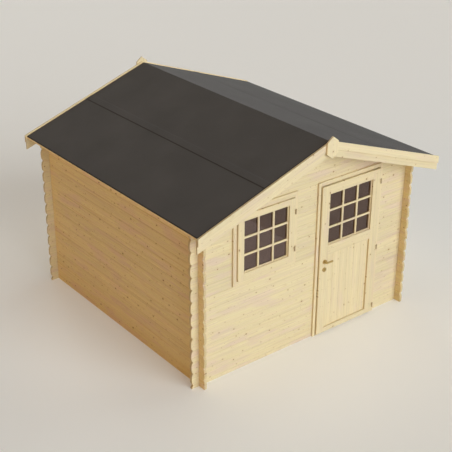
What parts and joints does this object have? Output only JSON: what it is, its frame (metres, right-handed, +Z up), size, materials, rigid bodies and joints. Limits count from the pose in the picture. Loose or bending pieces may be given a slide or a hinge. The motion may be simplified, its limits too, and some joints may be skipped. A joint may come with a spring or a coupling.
{
  "type": "garden shed",
  "caption": "Gable-roofed garden shed of interlocking log boards with rounded log ends at the corners, felt roof, glazed hinged door and a casement window.",
  "frame": {"origin": "on the ground under the middle of the shed's box", "axes": "+X right along the front, +Y from the front wall to the rear wall, +Z up"},
  "size_m": [3.196, 3.277, 2.4113],
  "materials": {
    "wall_logs": "untreated planed spruce, pale, with small knots",
    "roof_trim": "untreated planed spruce",
    "roof_timber": "untreated planed spruce",
    "joinery": "untreated planed spruce, finely planed",
    "roof_felt": "bitumen roofing felt, fine mineral surface",
    "pane_glass": "clear float glass",
    "handle_brass": "polished brass",
    "hinge_steel": "zinc-plated steel"
  },
  "bodies": {
    "shed": {"door_head": "joinery", "door_hinge_pins": "hinge_steel", "door_left_jamb": "joinery", "door_right_jamb": "joinery", "door_threshold": "joinery", "front_finial": "roof_trim", "front_gable": "wall_logs", "front_left_barge_board": "roof_trim", "front_left_barge_cover": "roof_trim", "front_right_barge_board": "roof_trim", "front_right_barge_cover": "roof_trim", "front_wall_left": "wall_logs", "front_wall_right": "wall_logs", "left_eave_felt": "roof_felt", "left_purlin": "roof_timber", "left_roof_boards": "roof_timber", "left_wall": "wall_logs", "rear_finial": "roof_trim", "rear_gable": "wall_logs", "rear_left_barge_board": "roof_trim", "rear_left_barge_cover": "roof_trim", "rear_right_barge_board": "roof_trim", "rear_right_barge_cover": "roof_trim", "rear_wall": "wall_logs", "ridge_felt": "roof_felt", "ridge_purlin": "roof_timber", "right_eave_felt": "roof_felt", "right_purlin": "roof_timber", "right_roof_boards": "roof_timber", "right_wall": "wall_logs", "window_frame": "joinery", "window_glass": "pane_glass", "window_glazing_bars": "joinery", "window_hinges": "hinge_steel", "window_sash": "joinery"},
    "door": {"door_left_stile": "joinery", "door_right_stile": "joinery", "door_top_rail": "joinery", "door_lock_rail": "joinery", "door_bottom_rail": "joinery", "door_panel": "joinery", "door_glazing_bars": "joinery", "door_glass": "pane_glass", "door_hinge_knuckles": "hinge_steel", "door_rosettes": "handle_brass"},
    "lever_handle": {"door_lever_handle": "handle_brass"}
  },
  "joints": [
    {"name": "door_hinge", "type": "hinge", "parent": "shed", "child": "door", "pos_m": [0.9685, -1.4025, 0.9], "axis": [0, 0, 1], "range_deg": [0, 110]},
    {"name": "lever_turn", "type": "hinge", "parent": "door", "child": "lever_handle", "pos_m": [0.204, -1.4155, 0.889], "axis": [0, 1, 0], "range_deg": [0, 40], "stiffness_Nm_per_rad": 1.2, "springref_deg": -20.05}
  ]
}
